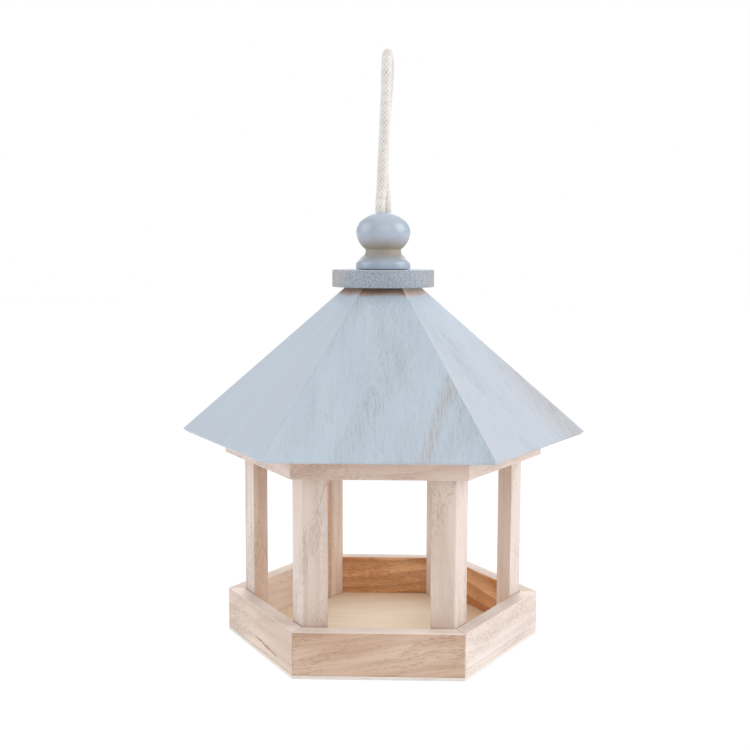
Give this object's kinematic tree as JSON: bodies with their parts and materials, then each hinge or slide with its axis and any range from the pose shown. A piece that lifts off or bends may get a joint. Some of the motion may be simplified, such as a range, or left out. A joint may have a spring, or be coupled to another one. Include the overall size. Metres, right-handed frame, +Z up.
{
  "type": "hanging bird feeder",
  "caption": "Six-sided wooden bird feeder with a shallow tray, open sides, a pitched hexagonal roof and a turned finial, hung from a doubled rope loop.",
  "frame": {"origin": "the point under the top of the rope loop where a hook bears", "axes": "+Z up along the feeder's vertical axis, which is its longest extent; -Y out of one flat side of the house; +X towards a corner post"},
  "size_m": [0.2398, 0.2078, 0.3465],
  "materials": {
    "sawn_wood": "bare sawn softwood, pinkish beige, unfinished",
    "post_wood": "bare planed softwood, unfinished",
    "plywood": "bare thin plywood, pale yellow",
    "roof_wash": "thin pale blue wash over softwood grain, matte",
    "cap_wash": "thin grey-blue wash, end grain speckled, matte",
    "finial_wash": "blue-grey paint on turned wood, satin",
    "cotton": "braided off-white cotton cord",
    "steel": "bright wire brad"
  },
  "bodies": {
    "rope_loop": {"rope_loop": "cotton"},
    "rope_throat": {"rope_throat_front": "cotton", "rope_throat_rear": "cotton"},
    "feeder": {"base_plate": "plywood", "tray_wall_1": "sawn_wood", "tray_wall_2": "sawn_wood", "tray_wall_3": "sawn_wood", "tray_wall_4": "sawn_wood", "tray_wall_5": "sawn_wood", "tray_wall_6": "sawn_wood", "corner_post_1": "post_wood", "corner_post_2": "post_wood", "corner_post_3": "post_wood", "corner_post_4": "post_wood", "corner_post_5": "post_wood", "corner_post_6": "post_wood", "top_rail_1": "sawn_wood", "top_rail_2": "sawn_wood", "top_rail_3": "sawn_wood", "top_rail_4": "sawn_wood", "top_rail_5": "sawn_wood", "top_rail_6": "sawn_wood", "roof_panel_1": "roof_wash", "roof_panel_2": "roof_wash", "roof_panel_3": "roof_wash", "roof_panel_4": "roof_wash", "roof_panel_5": "roof_wash", "roof_panel_6": "roof_wash", "apex_block": "sawn_wood", "roof_cap": "cap_wash", "finial": "finial_wash", "base_brad_1": "steel", "base_brad_2": "steel", "base_brad_3": "steel", "base_brad_4": "steel", "base_brad_5": "steel", "base_brad_6": "steel", "rope_tail_front": "cotton", "rope_tail_rear": "cotton", "rope_knot": "cotton"}
  },
  "joints": [
    {"name": "turn", "type": "hinge", "parent": "rope_loop", "child": "rope_throat", "pos_m": [0, 0, -0.0835], "axis": [0, 0, 1], "range_deg": [-180, 180]},
    {"name": "swing", "type": "hinge", "parent": "rope_throat", "child": "feeder", "pos_m": [0, 0, -0.0835], "axis": [0, 1, 0], "range_deg": [-35, 35]}
  ]
}
